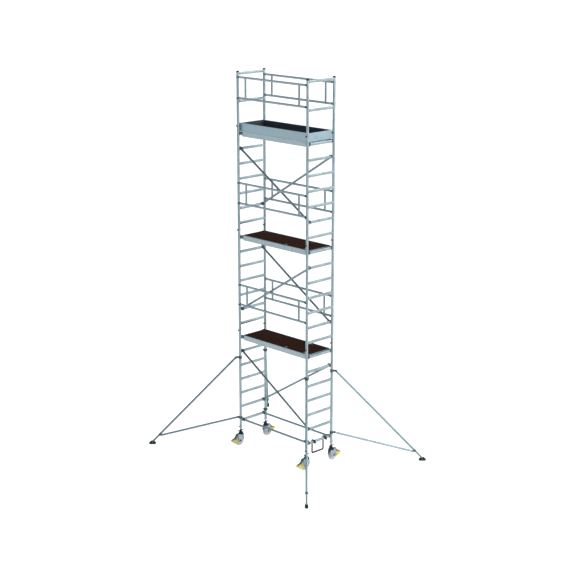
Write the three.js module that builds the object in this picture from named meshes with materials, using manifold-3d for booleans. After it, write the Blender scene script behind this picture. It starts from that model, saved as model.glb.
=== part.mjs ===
// Mobile tower scaffold: a narrow aluminium rolling tower on four braked castors, with three
// lifts of ladder frames, three hatch platforms, guard frames, braces, toe boards and outriggers.
// Millimetres, +Z up. The platforms run along X. The origin is on the floor, midway between the
// four castors. "Front" is the -Y side and "right" the +X end.

import * as THREE from "three";
import { mergeVertices } from "three/addons/utils/BufferGeometryUtils.js";
import Module from "manifold-3d";

const wasm = await Module();
wasm.setup();

// ---------------------------------------------------------------- driving dimensions
const BAY_LENGTH = 1800; // rung to rung, along the platforms
const BAY_WIDTH = 665; // upright to upright, across the tower
const RUNG_PITCH = 280;
const FIRST_RUNG = 499; // height of the lowest rung above the floor
const RUNGS_PER_LIFT = 7;
const LIFT = RUNGS_PER_LIFT * RUNG_PITCH; // 1960: the height of one ladder frame
const PLATFORM_RUNGS = [6, 13, 20]; // each platform hangs on these rungs, counted from 0

const UPRIGHT_RADIUS = 25;
const UPRIGHT_BORE = 20;
const JOINT_BELOW_RUNG = 161; // a frame's uprights reach this far below its first rung
const SPIGOT_LENGTH = 100;
const SPIGOT_RADIUS = 18.5;
const GUARD_END_HEIGHT = 1036; // of the top guard end frames, above the last frame joint
const RUNG_HALF_WIDTH = 16;
const RUNG_HALF_HEIGHT = 25;
const RUNG_FLAT = 11; // half of the flat tread on a rung's top
const RUNG_END = 20.5; // a rung ends this far from the upright's axis, inside its wall

const BRACE_RADIUS = 20;
const BRACE_OFFSET = 272; // of the braces from the tower's middle plane
const GUARD_RAIL_RADIUS = 20.5;
const GUARD_STRUT_RADIUS = 18.5;
const GUARD_LOWER_RAIL = 661; // above the platform's rung
const GUARD_RAIL_GAP = 382; // from the lower guard rail to the upper one

const PLATFORM_HALF_WIDTH = 300;
const BEAM_THICKNESS = 25;
const BEAM_TOP = 36; // above the rung's centre
const BEAM_BOTTOM = -46;
const LIP_THICKNESS = 18; // of the upstand along a beam's outer edge, as high as the deck
const DECK_THICKNESS = 10;
const HATCH = { x0: 200, x1: 820, y0: -268, y1: 236 };
const TOE_BOARD_HEIGHT = 155;
const TOE_BOARD_THICKNESS = 18;

const WHEEL_RADIUS = 100;
const WHEEL_TRAIL = 45; // from the swivel axis to the axle
const PEDAL_PIVOT = [95, 200]; // outwards from the swivel axis, and up
const FORK_TOP = 236;

const OUTRIGGER_UPPER_CLAMP = 1782;
const OUTRIGGER_LOWER_CLAMP = 559;
const OUTRIGGER_REACH = 1730; // from the upright's axis to the foot's pivot
const GAP = 0.3; // between pieces that touch

const TUBE_SIDES = 10;
const BAR_SIDES = 8;
// The corners of a clamp's bore, so that its flats clear an upright at any turn.
const CLAMP_BORE = (UPRIGHT_RADIUS + GAP) / Math.cos(Math.PI / TUBE_SIDES);

// ---------------------------------------------------------------- materials
const finish = (color, roughness, metalness) =>
  new THREE.MeshStandardMaterial({ color, roughness, metalness });

const ALUMINIUM = finish(0xb9c8cf, 0.42, 0.85);
const DULL_ALUMINIUM = finish(0x8fa3ad, 0.5, 0.8);
const ZINC = finish(0x9fb4bd, 0.4, 0.8);
const PLYWOOD = finish(0x33201a, 0.65, 0);
const DARK_STEEL = finish(0x3a444c, 0.5, 0.5);
const WHEEL_PLASTIC = finish(0xcfcdd6, 0.5, 0);
const PEDAL_YELLOW = finish(0xdfc95c, 0.5, 0);

// ---------------------------------------------------------------- solids
const at = (x, y, z) => new THREE.Vector3(x, y, z);
const count = (n) => [...Array(n).keys()];
const ENDS = [-1, 1];

// A closed three.js geometry as a manifold-3d solid.
function solid(geometry) {
  const bare = geometry.clone();
  bare.deleteAttribute("normal");
  bare.deleteAttribute("uv");
  const merged = mergeVertices(bare, 1e-3);
  return new wasm.Manifold(
    new wasm.Mesh({
      numProp: 3,
      vertProperties: merged.getAttribute("position").array,
      triVerts: new Uint32Array(merged.index.array),
    }),
  );
}

const join = (...solids) => solids.reduce((all, next) => all.add(next));
const cut = (body, ...tools) => tools.reduce((rest, tool) => rest.subtract(tool), body);

// A round bar from one point to another.
function bar(from, to, radius, sides = BAR_SIDES) {
  const axis = to.clone().sub(from);
  const geometry = new THREE.CylinderGeometry(radius, radius, axis.length(), sides);
  const turn = new THREE.Quaternion();
  turn.setFromUnitVectors(at(0, 1, 0), axis.normalize());
  geometry.applyQuaternion(turn);
  const middle = from.clone().lerp(to, 0.5);
  geometry.translate(middle.x, middle.y, middle.z);
  return solid(geometry);
}

// A rectangular block between two opposite corners.
function block(low, high) {
  const size = high.clone().sub(low);
  const geometry = new THREE.BoxGeometry(size.x, size.y, size.z);
  const middle = low.clone().lerp(high, 0.5);
  geometry.translate(middle.x, middle.y, middle.z);
  return solid(geometry);
}

// A plate whose outline lies in the plane of the directions `across` and `up`. It reaches
// `depth` from that plane, towards across x up.
function plate(outline, depth, across, up, start = at(0, 0, 0)) {
  const shape = new THREE.Shape(outline.map(([a, b]) => new THREE.Vector2(a, b)));
  const geometry = new THREE.ExtrudeGeometry(shape, { depth, bevelEnabled: false });
  const place = new THREE.Matrix4().makeBasis(across, up, across.clone().cross(up));
  geometry.applyMatrix4(place.setPosition(start));
  return solid(geometry);
}

const X = at(1, 0, 0);
const Y = at(0, 1, 0);
const Z = at(0, 0, 1);

// A plate outlined in X and Z, between two values of Y.
const plateXZ = (outline, y0, y1) => plate(outline, y1 - y0, X, Z, at(0, y1, 0));
// A plate outlined in Y and Z, between two values of X.
const plateYZ = (outline, x0, x1) => plate(outline, x1 - x0, Y, Z, at(x0, 0, 0));
// A plate outlined in X and Y, between two values of Z.
const plateXY = (outline, z0, z1) => plate(outline, z1 - z0, X, Y, at(0, 0, z0));

// A solid as the geometry of a mesh.
function geometryOf(body) {
  const { vertProperties, triVerts } = body.getMesh();
  const geometry = new THREE.BufferGeometry();
  geometry.setAttribute("position", new THREE.BufferAttribute(vertProperties, 3));
  geometry.setIndex(new THREE.BufferAttribute(triVerts, 1));
  geometry.computeVertexNormals();
  return geometry;
}

const tower = new THREE.Group();

// One named node of the tower, placed by its position and its turn about Z.
function piece(name, geometry, material, position = at(0, 0, 0), turn = 0, parent = tower) {
  const mesh = new THREE.Mesh(geometry, material);
  mesh.name = name;
  mesh.position.copy(position);
  mesh.rotation.z = turn;
  parent.add(mesh);
}

// ---------------------------------------------------------------- ladder frames
// A rung's outline, in X and Z: flat on top for the foot, and bevelled on both faces.
const RUNG_OUTLINE = [
  [-RUNG_FLAT, RUNG_HALF_HEIGHT],
  [-RUNG_HALF_WIDTH, 0],
  [-RUNG_FLAT, -RUNG_HALF_HEIGHT],
  [RUNG_FLAT, -RUNG_HALF_HEIGHT],
  [RUNG_HALF_WIDTH, 0],
  [RUNG_FLAT, RUNG_HALF_HEIGHT],
];

function rung(height) {
  const reach = BAY_WIDTH / 2 - RUNG_END;
  const outline = RUNG_OUTLINE.map(([x, z]) => [x, z + height]);
  return plateXZ(outline, -reach, reach);
}

const SOLID_TOP = 40; // an upright is solid this far down from its upper end

// Two upright tubes, hollow from below, with a crown on the top of each.
function uprights(bottom, top, crown) {
  const tubes = ENDS.map((side) => {
    const y = (side * BAY_WIDTH) / 2;
    const wall = bar(at(0, y, bottom), at(0, y, top), UPRIGHT_RADIUS, TUBE_SIDES);
    const bore = bar(at(0, y, bottom - 1), at(0, y, top - SOLID_TOP), UPRIGHT_BORE);
    return cut(wall.add(crown(y)), bore);
  });
  return join(...tubes);
}

// A ladder frame, from z = 0 at its first rung. A spigot on each upright enters the next frame.
function ladderFrame() {
  const top = LIFT - JOINT_BELOW_RUNG;
  const root = top - SOLID_TOP / 2;
  const spigot = (y) => bar(at(0, y, root), at(0, y, top + SPIGOT_LENGTH), SPIGOT_RADIUS);
  const rungs = count(RUNGS_PER_LIFT).map((n) => rung(n * RUNG_PITCH));
  return join(uprights(-JOINT_BELOW_RUNG, top - GAP, spigot), ...rungs);
}

// The end guard frame above the top platform, from z = 0 at its lower ends.
function guardEndFrame() {
  const capHeight = 25;
  const capBottom = GUARD_END_HEIGHT - capHeight;
  const midRail = 484;
  const topRail = 986;
  const cap = (y) =>
    bar(at(0, y, capBottom), at(0, y, GUARD_END_HEIGHT), UPRIGHT_RADIUS + 1.5, TUBE_SIDES);
  const tubes = uprights(0, capBottom, cap);
  return join(tubes, rung(midRail), rung(topRail));
}

function addLadderFrames() {
  const frame = geometryOf(ladderFrame());
  const guard = geometryOf(guardEndFrame());
  const lifts = PLATFORM_RUNGS.length;
  for (const [end, word] of [[-1, "left"], [1, "right"]]) {
    const x = (end * BAY_LENGTH) / 2;
    for (const level of count(lifts)) {
      const place = at(x, 0, FIRST_RUNG + level * LIFT);
      piece(`ladder_frame_${level + 1}_${word}`, frame, ALUMINIUM, place);
    }
    const foot = FIRST_RUNG + lifts * LIFT - JOINT_BELOW_RUNG;
    piece(`guard_end_frame_${word}`, guard, ALUMINIUM, at(x, 0, foot));
  }
}

// ---------------------------------------------------------------- hooks and braces
const HOOK_CLEARANCE = 1.5; // between a hook and the rung it hangs on
const HOOK_SLOT = RUNG_HALF_WIDTH + HOOK_CLEARANCE;
const HOOK_ROOF = RUNG_HALF_HEIGHT + HOOK_CLEARANCE;
const BRACE_HOOK_HALF_WIDTH = 13;

// The outline of a hook that hangs over a rung at (0, 0). Its root is on the `side` side and
// reaches out to `root` and down to `low`.
function hookOutline(side, root, low) {
  const slot = HOOK_SLOT;
  const roof = HOOK_ROOF;
  const outline = [
    [-29, -14],
    [-slot, -14],
    [-slot, roof],
    [slot, roof],
    [slot, low],
    [root, low],
    [root, 26],
    [root - 10, 35],
    [-21, 35],
    [-29, 27],
  ];
  const placed = outline.map(([x, z]) => [side * x, z]);
  return side > 0 ? placed : placed.reverse();
}

// A brace tube with a hook at each end. Its right end is `rise` above its left end.
function brace(rise) {
  const tubeInset = 36; // a tube stops this far short of the rungs' centres
  const hookRoot = 48;
  const hookLow = -20;
  const half = at(BAY_LENGTH / 2, 0, rise / 2);
  const start = half.clone().multiplyScalar(tubeInset / half.length() - 1);
  const tube = bar(start, start.clone().negate(), BRACE_RADIUS);
  const hooks = ENDS.map((end) => {
    const hook = hookOutline(-end, hookRoot, hookLow);
    const outline = hook.map(([x, z]) => [x + end * half.x, z + end * half.z]);
    return plateXZ(outline, -BRACE_HOOK_HALF_WIDTH, BRACE_HOOK_HALF_WIDTH);
  });
  return join(tube, ...hooks);
}

// The rungs that each brace joins: [name, side, left rung, right rung].
const BRACES = [
  ["horizontal_brace_front", -1, 0, 0],
  ["horizontal_brace_back", 1, 0, 0],
  ["diagonal_brace_1_front", -1, 5, 1],
  ["diagonal_brace_1_back", 1, 1, 5],
  ["diagonal_brace_2_front", -1, 8, 12],
  ["diagonal_brace_2_back", 1, 12, 8],
  ["diagonal_brace_3_front", -1, 19, 15],
  ["diagonal_brace_3_back", 1, 15, 19],
];

function addBraces() {
  for (const [name, side, left, right] of BRACES) {
    const shape = geometryOf(brace((right - left) * RUNG_PITCH));
    const height = FIRST_RUNG + ((left + right) / 2) * RUNG_PITCH;
    piece(name, shape, DULL_ALUMINIUM, at(0, side * BRACE_OFFSET, height));
  }
}

// ---------------------------------------------------------------- side guard frames
// Two rails and two struts, with an open claw at each rail end that snaps round an upright.
// Its lower rail is at z = 0.
function sideGuardFrame() {
  const clawInner = BAY_LENGTH / 2 - 52;
  const clawOuter = BAY_LENGTH / 2 + 13;
  const strutX = 692;
  const rails = [0, GUARD_RAIL_GAP].map((z) => {
    const tube = bar(at(-clawInner - 3, 0, z), at(clawInner + 3, 0, z), GUARD_RAIL_RADIUS);
    const claws = ENDS.map((end) => {
      const inner = Math.min(end * clawInner, end * clawOuter);
      const outer = Math.max(end * clawInner, end * clawOuter);
      return block(at(inner, -32, z - 22), at(outer, 32, z + 22));
    });
    return join(tube, ...claws);
  });
  const struts = ENDS.map((end) =>
    bar(at(end * strutX, 0, 0), at(end * strutX, 0, GUARD_RAIL_GAP), GUARD_STRUT_RADIUS),
  );
  const grips = ENDS.map((end) => {
    const x = (end * BAY_LENGTH) / 2;
    return bar(at(x, 0, -30), at(x, 0, GUARD_RAIL_GAP + 30), CLAMP_BORE, TUBE_SIDES);
  });
  return cut(join(...rails, ...struts), ...grips);
}

function addSideGuards() {
  const shape = geometryOf(sideGuardFrame());
  PLATFORM_RUNGS.forEach((rungNumber, level) => {
    const z = FIRST_RUNG + rungNumber * RUNG_PITCH + GUARD_LOWER_RAIL;
    for (const [side, word] of [[-1, "front"], [1, "back"]]) {
      const place = at(0, (side * BAY_WIDTH) / 2, z);
      piece(`guard_frame_${level + 1}_${word}`, shape, ALUMINIUM, place);
    }
  });
}

// ---------------------------------------------------------------- platforms
// Heights here are measured from the centre of the rung that the platform hangs on.
const DECK_BOTTOM = BEAM_TOP + GAP;
const DECK_TOP = DECK_BOTTOM + DECK_THICKNESS;

const BEAM_END = 868; // from the middle of the platform
const LIP_INNER = PLATFORM_HALF_WIDTH - LIP_THICKNESS;

// A side beam's outline, with its lower corners cut off to clear the climber's knees.
const SIDE_BEAM_OUTLINE = [
  [-BEAM_END, 8],
  [-814, BEAM_BOTTOM],
  [814, BEAM_BOTTOM],
  [BEAM_END, 8],
  [BEAM_END, BEAM_TOP],
  [-BEAM_END, BEAM_TOP],
];

function platformFrame() {
  const hookRoot = 50;
  const hookLow = -10;
  const inner = PLATFORM_HALF_WIDTH - BEAM_THICKNESS;
  const sides = ENDS.map((side) => {
    const near = Math.min(side * inner, side * PLATFORM_HALF_WIDTH);
    const beam = plateXZ(SIDE_BEAM_OUTLINE, near, near + BEAM_THICKNESS);
    const lipNear = Math.min(side * LIP_INNER, side * PLATFORM_HALF_WIDTH);
    const lip = block(
      at(-BEAM_END, lipNear, BEAM_TOP - 1),
      at(BEAM_END, lipNear + LIP_THICKNESS, DECK_TOP),
    );
    const hooks = ENDS.map((end) => {
      const hook = hookOutline(-end, hookRoot, hookLow);
      const outline = hook.map(([x, z]) => [x + (end * BAY_LENGTH) / 2, z]);
      return plateXZ(outline, near + 1, near + BEAM_THICKNESS - 1);
    });
    return join(beam, lip, ...hooks);
  });
  const crossbars = [
    [-BEAM_END, -838, -24],
    [-470, -440, -4],
    [-145, -115, -4],
    [180, 215, -24],
    [808, BEAM_END, -24],
  ];
  const bars = crossbars.map(([x0, x1, low]) =>
    block(at(x0, -inner - 3, low), at(x1, inner + 3, BEAM_TOP)),
  );
  return join(...sides, ...bars);
}

// The fixed plywood, with a bay cut out of its front edge for the hatch.
function deckBoard() {
  const endX = 864;
  const edgeY = LIP_INNER - 0.5;
  const clearance = 3;
  const outline = [
    [-endX, -edgeY],
    [HATCH.x0 - clearance, -edgeY],
    [HATCH.x0 - clearance, HATCH.y1 + clearance],
    [HATCH.x1 + clearance, HATCH.y1 + clearance],
    [HATCH.x1 + clearance, -edgeY],
    [endX, -edgeY],
    [endX, edgeY],
    [-endX, edgeY],
  ];
  return plateXY(outline, DECK_BOTTOM, DECK_TOP);
}

function hatch() {
  const outline = [
    [HATCH.x0, HATCH.y0],
    [HATCH.x1, HATCH.y0],
    [HATCH.x1, HATCH.y1],
    [HATCH.x0, HATCH.y1],
  ];
  return plateXY(outline, DECK_BOTTOM, DECK_TOP);
}

function addPlatforms() {
  const shapes = [
    ["frame", geometryOf(platformFrame()), ALUMINIUM],
    ["deck", geometryOf(deckBoard()), PLYWOOD],
    ["hatch", geometryOf(hatch()), PLYWOOD],
  ];
  PLATFORM_RUNGS.forEach((rungNumber, level) => {
    const place = at(0, 0, FIRST_RUNG + rungNumber * RUNG_PITCH);
    for (const [word, shape, look] of shapes)
      piece(`platform_${level + 1}_${word}`, shape, look, place);
  });
}

// ---------------------------------------------------------------- toe boards
function addToeBoards() {
  const topRung = FIRST_RUNG + PLATFORM_RUNGS.at(-1) * RUNG_PITCH;
  const z = topRung + DECK_TOP + GAP;
  const long = BAY_LENGTH / 2 - 20;
  const outer = PLATFORM_HALF_WIDTH;
  const longBoard = block(
    at(-long, -TOE_BOARD_THICKNESS / 2, 0),
    at(long, TOE_BOARD_THICKNESS / 2, TOE_BOARD_HEIGHT),
  );
  const endBoard = block(
    at(-TOE_BOARD_THICKNESS / 2, -outer - 3, 0),
    at(TOE_BOARD_THICKNESS / 2, outer + 3, TOE_BOARD_HEIGHT),
  );
  const y = outer - TOE_BOARD_THICKNESS / 2;
  const x = long + 2 + TOE_BOARD_THICKNESS / 2;
  piece("toe_board_front", geometryOf(longBoard), DULL_ALUMINIUM, at(0, -y, z));
  piece("toe_board_back", geometryOf(longBoard), DULL_ALUMINIUM, at(0, y, z));
  piece("toe_board_left", geometryOf(endBoard), DULL_ALUMINIUM, at(-x, 0, z));
  piece("toe_board_right", geometryOf(endBoard), DULL_ALUMINIUM, at(x, 0, z));
}

// ---------------------------------------------------------------- stirrup step
// A U-shaped step that hangs below the lowest rung of the right frame, on two straps.
function stirrup() {
  const legX = -42;
  const legRadius = 12;
  const legY = [-147, 147];
  const bottom = -235;
  const strap = [
    [-52, -16],
    [-HOOK_SLOT, -16],
    [-HOOK_SLOT, HOOK_ROOF],
    [HOOK_SLOT, HOOK_ROOF],
    [HOOK_SLOT, -28],
    [38, -28],
    [38, 24],
    [30, 32],
    [-44, 32],
    [-52, 24],
  ];
  const legs = legY.map((y) =>
    join(
      bar(at(legX, y, bottom - legRadius), at(legX, y, 0), legRadius),
      plateXZ(strap, y - 15, y + 15),
    ),
  );
  const tread = bar(at(legX, legY[0] - 6, bottom), at(legX, legY[1] + 6, bottom), legRadius);
  return join(...legs, tread);
}

// ---------------------------------------------------------------- castors
// Everything on a castor is drawn from its swivel axis at the floor, with the wheel and the
// pedal trailing towards +Y.
function castorStem() {
  const stemTop = 650;
  const stemRadius = 16;
  const coneHeight = 40;
  const cone = new THREE.CylinderGeometry(24, 44, coneHeight, BAR_SIDES);
  cone.rotateX(Math.PI / 2);
  cone.translate(0, 0, FORK_TOP + 0.5 + coneHeight / 2);
  const wings = block(at(-9, -70, 284), at(9, 70, 302));
  const nut = bar(at(0, 0, 284), at(0, 0, 308), 23);
  const stem = bar(at(0, 0, FORK_TOP + 10), at(0, 0, stemTop), stemRadius);
  return join(solid(cone), nut, wings, stem);
}

// Two cheeks under a turntable disc, closed by a web on the leading side.
function castorFork() {
  const cheek = [
    [-46, 228],
    [-58, 128],
    [-48, 106],
    [-6, 84],
    [30, 76],
    [60, 76],
    [80, 94],
    [92, 176],
    [106, 186],
    [108, 210],
    [96, 228],
  ];
  const web = [
    [-46, 228],
    [-53.2, 168],
    [-49.7, 168],
    [-42, 228],
  ];
  const cheekInner = 31;
  const cheekOuter = 36;
  const boltEnd = 42;
  const [pivotY, pivotZ] = PEDAL_PIVOT;
  return join(
    plateYZ(cheek, cheekInner, cheekOuter),
    plateYZ(cheek, -cheekOuter, -cheekInner),
    plateYZ(web, -cheekOuter, cheekOuter),
    block(at(-cheekInner - 2, -46, 218), at(cheekInner + 2, 78, 228)),
    bar(at(0, 0, 212), at(0, 0, FORK_TOP), 54, 12),
    bar(at(-boltEnd, WHEEL_TRAIL, WHEEL_RADIUS), at(boltEnd, WHEEL_TRAIL, WHEEL_RADIUS), 8),
    bar(at(-boltEnd, pivotY, pivotZ), at(boltEnd, pivotY, pivotZ), 4, 6),
  );
}

// A wheel about the X axis, with a recessed web on each face and a bore for its axle.
function castorWheel() {
  const section = [
    [9.5, -27],
    [30, -27],
    [34, -15],
    [88, -24],
    [WHEEL_RADIUS, -18],
    [WHEEL_RADIUS, 18],
    [88, 24],
    [34, 15],
    [30, 27],
    [9.5, 27],
    [9.5, -27],
  ];
  const profile = section.map(([radius, along]) => new THREE.Vector2(radius, along));
  const geometry = new THREE.LatheGeometry(profile, 20);
  geometry.rotateZ(-Math.PI / 2);
  return solid(geometry);
}

// The brake pedal: a foot plate whose inner side follows the tyre.
function castorPedal() {
  const [pivotY, pivotZ] = PEDAL_PIVOT;
  const shoeRadius = WHEEL_RADIUS + 6;
  const shoe = count(6).map((n) => {
    const angle = THREE.MathUtils.degToRad(-25 + 16 * n);
    return [
      WHEEL_TRAIL + shoeRadius * Math.cos(angle),
      WHEEL_RADIUS + shoeRadius * Math.sin(angle),
    ];
  });
  const outline = [
    [90, 211],
    [104, 215],
    [118, 206],
    [170, 160],
    [246, 132],
    [250, 121],
    [196, 86],
    [158, 50],
    ...shoe,
  ];
  const body = plateYZ(outline.reverse(), -27, 27);
  return cut(body, bar(at(-30, pivotY, pivotZ), at(30, pivotY, pivotZ), 5, 6));
}

const CORNERS = [
  ["front_left", -1, -1],
  ["front_right", 1, -1],
  ["back_right", 1, 1],
  ["back_left", -1, 1],
];

function addCastors() {
  const stem = geometryOf(castorStem());
  const fork = geometryOf(castorFork());
  const wheel = geometryOf(castorWheel());
  const pedal = geometryOf(castorPedal());
  for (const [corner, endX, endY] of CORNERS) {
    const castor = new THREE.Group();
    castor.position.set((endX * BAY_LENGTH) / 2, (endY * BAY_WIDTH) / 2, 0);
    castor.rotation.z = endY > 0 ? 0 : Math.PI;
    tower.add(castor);
    const axle = at(0, WHEEL_TRAIL, WHEEL_RADIUS);
    piece(`castor_stem_${corner}`, stem, ZINC, at(0, 0, 0), 0, castor);
    piece(`castor_fork_${corner}`, fork, ZINC, at(0, 0, 0), 0, castor);
    piece(`castor_wheel_${corner}`, wheel, WHEEL_PLASTIC, axle, 0, castor);
    piece(`castor_pedal_${corner}`, pedal, PEDAL_YELLOW, at(0, 0, 0), 0, castor);
  }
}

// ---------------------------------------------------------------- outriggers
// Drawn in the X-Z plane from the upright's axis at the floor, reaching out towards +X.
const ELBOW = at(80, 0, OUTRIGGER_UPPER_CLAMP - 4);
const FOOT_PIVOT = at(OUTRIGGER_REACH, 0, 42);
const TUBE_LENGTH = 2200;
const TUBE_AXIS = FOOT_PIVOT.clone().sub(ELBOW).normalize();
const alongTube = (distance) => ELBOW.clone().addScaledVector(TUBE_AXIS, distance);

function outriggerClamp(height, reach) {
  const ring = bar(at(0, 0, height - 25), at(0, 0, height + 25), 35, TUBE_SIDES);
  const lug = bar(at(29, 0, height), at(reach, 0, height), 17);
  return join(ring, lug);
}

// The long tube, the lower strut and the two clamps that hold them to the upright.
function outriggerFrame() {
  const strutEnd = alongTube(TUBE_LENGTH - 40).add(at(-12, 0, -34));
  const strutStart = at(50, 0, OUTRIGGER_LOWER_CLAMP);
  const body = join(
    outriggerClamp(OUTRIGGER_UPPER_CLAMP, ELBOW.x + 12),
    outriggerClamp(OUTRIGGER_LOWER_CLAMP, strutStart.x + 8),
    bar(ELBOW, alongTube(TUBE_LENGTH), 21),
    bar(strutStart, strutEnd, 20),
    bar(strutEnd, alongTube(TUBE_LENGTH - 40).add(at(-5, 0, -15)), 13, 6),
  );
  const telescope = bar(alongTube(TUBE_LENGTH - 700), alongTube(TUBE_LENGTH + 1), 18.6);
  const grips = [OUTRIGGER_UPPER_CLAMP, OUTRIGGER_LOWER_CLAMP].map((z) =>
    bar(at(0, 0, z - 40), at(0, 0, z + 40), CLAMP_BORE, TUBE_SIDES),
  );
  return cut(body, telescope, ...grips);
}

// The telescopic leg that slides in the tube, and its shoe.
function outriggerLeg() {
  const shoe = [
    [OUTRIGGER_REACH - 64, 0],
    [OUTRIGGER_REACH + 64, 0],
    [OUTRIGGER_REACH + 68, 26],
    [OUTRIGGER_REACH + 44, 44],
    [OUTRIGGER_REACH + 20, 62],
    [OUTRIGGER_REACH - 20, 62],
    [OUTRIGGER_REACH - 44, 44],
    [OUTRIGGER_REACH - 68, 26],
  ];
  const leg = bar(alongTube(TUBE_LENGTH - 450), FOOT_PIVOT, 16.5);
  return join(leg, plateXZ(shoe, -30, 30));
}

function addOutriggers() {
  const frame = geometryOf(outriggerFrame());
  const leg = geometryOf(outriggerLeg());
  for (const [corner, endX, endY] of CORNERS) {
    const place = at((endX * BAY_LENGTH) / 2, (endY * BAY_WIDTH) / 2, 0);
    const turn = Math.atan2(endY, endX);
    piece(`outrigger_frame_${corner}`, frame, ALUMINIUM, place, turn);
    piece(`outrigger_leg_${corner}`, leg, ALUMINIUM, place, turn);
  }
}

// ---------------------------------------------------------------- the tower
addLadderFrames();
addBraces();
addSideGuards();
addPlatforms();
addToeBoards();
piece("stirrup_step", geometryOf(stirrup()), DARK_STEEL, at(BAY_LENGTH / 2, 7, FIRST_RUNG));
addCastors();
addOutriggers();

export default tower;
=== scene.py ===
"""Looks of a mobile tower scaffold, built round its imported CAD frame.

Shapes are drawn in millimetres, in the CAD's own frame: X along the platforms, Y across the
tower with the front at -Y, Z up from the floor. build() turns them into metres.
"""

import math
import random

import bmesh
import bpy
import numpy as np
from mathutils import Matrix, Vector


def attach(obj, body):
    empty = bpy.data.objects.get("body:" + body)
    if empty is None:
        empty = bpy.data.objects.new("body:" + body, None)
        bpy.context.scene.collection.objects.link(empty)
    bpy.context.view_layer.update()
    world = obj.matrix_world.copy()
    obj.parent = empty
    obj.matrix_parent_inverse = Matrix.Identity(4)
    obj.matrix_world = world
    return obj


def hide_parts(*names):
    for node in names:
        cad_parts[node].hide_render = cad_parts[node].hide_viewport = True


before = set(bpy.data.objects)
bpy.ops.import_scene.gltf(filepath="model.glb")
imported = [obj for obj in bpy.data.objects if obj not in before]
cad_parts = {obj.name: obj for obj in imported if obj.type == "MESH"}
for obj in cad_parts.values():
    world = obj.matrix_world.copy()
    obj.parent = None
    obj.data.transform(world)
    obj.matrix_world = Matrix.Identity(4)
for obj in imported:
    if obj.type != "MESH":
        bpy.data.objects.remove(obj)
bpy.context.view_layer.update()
draw = random.Random(41)

MM = 0.001
X, Y, Z = np.eye(3)

# -------- sizes, as in the CAD
END_X = 900.0  # ladder frames stand at +-END_X
SIDE_Y = 332.5  # uprights stand at +-SIDE_Y
UPRIGHT_R = 25.0
PITCH = 280.0  # from rung to rung
FIRST_RUNG = 499.0
LIFT = 1960.0  # a ladder frame's height
BELOW_RUNG = 161.0  # its uprights reach this far below its first rung
RUNG_HALF = 25  # half a rung's height
HOOK_ROOF, HOOK_SIDE = 26.5, 17.5  # the inside of what hangs on a rung, from the rung's axis
GUARD_END_HEIGHT = 1012  # of an end guard frame
LEVELS = (1, 2, 3)
JOINTS_Z = [FIRST_RUNG + LIFT * n - BELOW_RUNG for n in LEVELS]
PLATFORM_Z = [FIRST_RUNG + PITCH * n for n in (6, 13, 20)]  # the rungs that carry platforms
BEAM_INNER, BEAM_OUTER = 275, 300  # faces of a platform's side beams, across the tower
DECK_LOW, DECK_TOP = 36.3, 46.3  # faces of its boards, above its rungs
HINGES_X = (262, 758)  # the hatch's hinges
BRACE_Y = 272.0  # the braces' planes
GUARD_FOOT, GUARD_GAP = 661, 382  # from platform rung to lower side rail, and on to the upper
UPPER_CLAMP, LOWER_CLAMP = 1782.0, 559.0  # of the outriggers, on the uprights
WHEEL_TRAIL, WHEEL_R = 45, 100  # a castor's axle, from its swivel axis and the floor
PEDAL_PIN = (95, 200)  # the brake pedal's pivot, likewise
LOCK_PIN_Z = 369  # the pins through the castors' stems
CORNERS = [("front_left", -1, -1), ("front_right", 1, -1), ("back_right", 1, 1), ("back_left", -1, 1)]
ENDS = [(-1, "left"), (1, "right")]
SIDES = [(-1, "front"), (1, "back")]
BOTH = (-1, 1)


# -------- materials
def node(tree, kind, inputs=(), **settings):
    """A shader node whose inputs are values or other nodes' outputs."""
    made = tree.nodes.new("ShaderNode" + kind)
    for key, value in settings.items():
        setattr(made, key, value)
    for key, value in dict(inputs).items():
        if isinstance(value, bpy.types.NodeSocket):
            tree.links.new(value, made.inputs[key])
        else:
            made.inputs[key].default_value = value
    return made


def noise(tree, vector, scale, detail=3.0, roughness=0.55):
    inputs = {"Vector": vector, "Scale": scale, "Detail": detail, "Roughness": roughness}
    return node(tree, "TexNoise", inputs).outputs["Fac"]


def spread(tree, value, low, high, to_low=0.0, to_high=1.0):
    """`value` from low..high onto to_low..to_high, clamped."""
    inputs = {0: value, 1: low, 2: high, 3: to_low, 4: to_high}
    return node(tree, "MapRange", inputs).outputs[0]


def combine(tree, operation, a, b):
    return node(tree, "Math", {0: a, 1: b}, operation=operation).outputs[0]


def blend(tree, share, a, b):
    return node(tree, "Mix", {0: share, 6: a, 7: b}, data_type="RGBA").outputs[2]


def attribute(tree, name, output):
    return node(tree, "Attribute", attribute_name=name).outputs[output]


def ray(tree, kind):
    return node(tree, "LightPath").outputs[f"Is {kind} Ray"]


def stretched(tree, vector, scale):
    return node(tree, "Mapping", {"Vector": vector, "Scale": scale}).outputs[0]


def surface(tree, shader, colour, rough, height, distance, strength):
    """Join a material's colour, roughness and bumps to its shader."""
    tree.links.new(colour, shader.inputs["Base Color"])
    tree.links.new(rough, shader.inputs["Roughness"])
    bumps = node(tree, "Bump", {"Height": height, "Distance": distance, "Strength": strength})
    tree.links.new(bumps.outputs[0], shader.inputs["Normal"])


def start(name, metallic=0.0):
    material = bpy.data.materials.new(name)
    material.use_nodes = True
    tree = material.node_tree
    shader = tree.nodes["Principled BSDF"]
    shader.inputs["Metallic"].default_value = metallic
    return material, tree, shader


def rgb(colour, scale=1.0, lift=0.0):
    """A linear colour for a socket, scaled and lifted."""
    return (*[lift + scale * c for c in colour], 1.0)


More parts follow.
